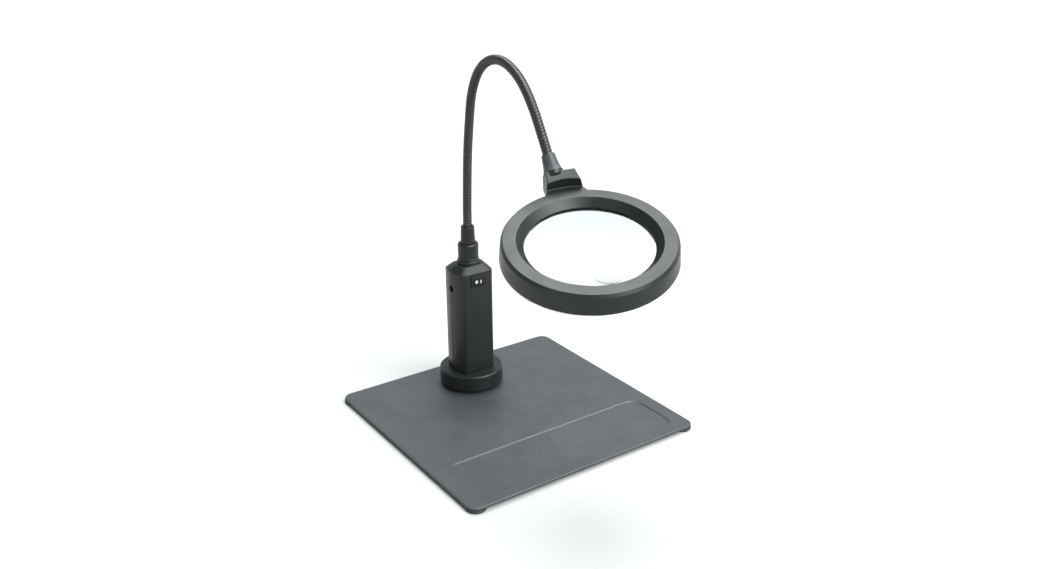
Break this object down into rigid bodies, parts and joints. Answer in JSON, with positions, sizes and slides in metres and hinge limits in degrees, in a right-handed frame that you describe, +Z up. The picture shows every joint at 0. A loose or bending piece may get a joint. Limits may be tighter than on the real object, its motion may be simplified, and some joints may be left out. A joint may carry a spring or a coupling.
{
  "type": "illuminated gooseneck magnifier",
  "caption": "Desk magnifier: a lit round lens ring on a ribbed flexible neck, rising from a battery handle on a magnetic disc over a square steel plate with a shallow tray.",
  "frame": {"origin": "middle of the whole object's footprint, at the underside of the rubber feet", "axes": "+Z up, +Y away from the user (the handle stands at the back of the plate), +X to the user's right"},
  "size_m": [0.2508, 0.3319, 0.3475],
  "materials": {
    "plate_paint": "grey powder coat, fine texture, satin",
    "housing_plastic": "dark charcoal moulded plastic, satin",
    "neck_steel": "black-coated ribbed steel tube, semi-gloss",
    "bare_steel": "plated steel",
    "rubber": "black rubber, matt",
    "switch_plastic": "black moulded plastic, semi-gloss",
    "lens_acrylic": "clear polished optical plastic",
    "diffuser_acrylic": "milky translucent plastic",
    "board": "green circuit board",
    "led_board": "white circuit board with lamps",
    "cell_jacket": "printed film over a steel cell, plain here",
    "lead_vinyl": "black flexible vinyl"
  },
  "bodies": {
    "plate": {"base_plate": "plate_paint", "foot_back_left": "rubber", "foot_back_right": "rubber", "foot_front_left": "rubber", "foot_front_right": "rubber"},
    "lamp": {"base_disc": "housing_plastic", "base_magnet": "bare_steel", "base_screw": "bare_steel", "handle_foot": "housing_plastic", "front_shell": "housing_plastic", "rear_shell": "housing_plastic", "shell_screw_left": "bare_steel", "shell_screw_right": "bare_steel", "battery_box": "housing_plastic", "battery_1": "cell_jacket", "battery_2": "cell_jacket", "battery_3": "cell_jacket", "battery_springs": "bare_steel", "battery_contacts": "bare_steel", "driver_board": "board", "switch_body": "switch_plastic", "dc_jack": "switch_plastic", "neck_flange": "housing_plastic", "neck_collar": "housing_plastic", "neck_locknut": "bare_steel", "lower_ferrule": "neck_steel", "neck_link_01": "neck_steel", "neck_lead_01": "lead_vinyl"},
    "switch": {"switch_rocker": "switch_plastic"},
    "battery_door": {"battery_cover": "housing_plastic"},
    "neck_2": {"neck_link_02": "neck_steel", "neck_lead_02": "lead_vinyl"},
    "neck_3": {"neck_link_03": "neck_steel", "neck_lead_03": "lead_vinyl"},
    "neck_4": {"neck_link_04": "neck_steel", "neck_lead_04": "lead_vinyl"},
    "neck_5": {"neck_link_05": "neck_steel", "neck_lead_05": "lead_vinyl"},
    "neck_6": {"neck_link_06": "neck_steel", "neck_lead_06": "lead_vinyl"},
    "neck_7": {"neck_link_07": "neck_steel", "neck_lead_07": "lead_vinyl"},
    "neck_8": {"neck_link_08": "neck_steel", "neck_lead_08": "lead_vinyl"},
    "neck_9": {"neck_link_09": "neck_steel", "neck_lead_09": "lead_vinyl"},
    "head": {"neck_link_10": "neck_steel", "neck_lead_10": "lead_vinyl", "upper_ferrule": "neck_steel", "head_bracket": "housing_plastic", "head_top_ring": "housing_plastic", "head_bottom_ring": "housing_plastic", "head_screw_left": "bare_steel", "head_screw_right": "bare_steel", "head_screw_back": "bare_steel", "lens": "lens_acrylic", "lens_retainer": "housing_plastic", "led_board": "led_board", "diffuser_ring": "diffuser_acrylic"}
  },
  "joints": [
    {"name": "base_swivel", "type": "hinge", "parent": "plate", "child": "lamp", "pos_m": [0, 0.1196, 0.0058], "axis": [0, 0, 1], "continuous": true},
    {"name": "switch_tilt", "type": "hinge", "parent": "lamp", "child": "switch", "pos_m": [0, 0.1027, 0.1212], "axis": [0, 0, 1], "range_deg": [0, 14]},
    {"name": "battery_cover_off", "type": "slide", "parent": "lamp", "child": "battery_door", "axis": [0, 1, 0], "range_m": [0, 0.03]},
    {"name": "neck_sway_low", "type": "hinge", "parent": "lamp", "child": "neck_2", "pos_m": [0, 0.1188, 0.20229], "axis": [0, 0.9986, 0.0523], "range_deg": [-14, 14]},
    {"name": "neck_lean_low", "type": "hinge", "parent": "neck_2", "child": "neck_3", "pos_m": [0, 0.11694, 0.23273], "axis": [1, 0, 0], "range_deg": [-12, 7]},
    {"name": "neck_sway_high", "type": "hinge", "parent": "neck_3", "child": "neck_4", "pos_m": [0, 0.11375, 0.26306], "axis": [0, 0.9903, 0.1392], "range_deg": [-14, 14]},
    {"name": "neck_lean_high", "type": "hinge", "parent": "neck_4", "child": "neck_5", "pos_m": [0, 0.10898, 0.29318], "axis": [1, 0, 0], "range_deg": [-12, 7]},
    {"name": "neck_curl_rear", "type": "hinge", "parent": "neck_5", "child": "neck_6", "pos_m": [0, 0.09812, 0.32148], "axis": [1, 0, 0], "range_deg": [-22, 2]},
    {"name": "neck_curl_top", "type": "hinge", "parent": "neck_6", "child": "neck_7", "pos_m": [0, 0.07485, 0.34032], "axis": [1, 0, 0], "range_deg": [-22, 2]},
    {"name": "neck_curl_front", "type": "hinge", "parent": "neck_7", "child": "neck_8", "pos_m": [0, 0.04493, 0.34058], "axis": [1, 0, 0], "range_deg": [-22, 2]},
    {"name": "head_nod", "type": "hinge", "parent": "neck_8", "child": "neck_9", "pos_m": [0, 0.01961, 0.32414], "axis": [1, 0, 0], "range_deg": [-28, 18]},
    {"name": "head_roll", "type": "hinge", "parent": "neck_9", "child": "head", "pos_m": [0, 0.00151, 0.29967], "axis": [0, -0.866, 0.5], "range_deg": [-24, 24]}
  ],
  "couplings": [
    {"joint": "neck_sway_high", "follows": "neck_sway_low", "ratio": 1},
    {"joint": "neck_lean_high", "follows": "neck_lean_low", "ratio": 1},
    {"joint": "neck_curl_rear", "follows": "neck_curl_top", "ratio": 1},
    {"joint": "neck_curl_front", "follows": "neck_curl_top", "ratio": 1}
  ]
}
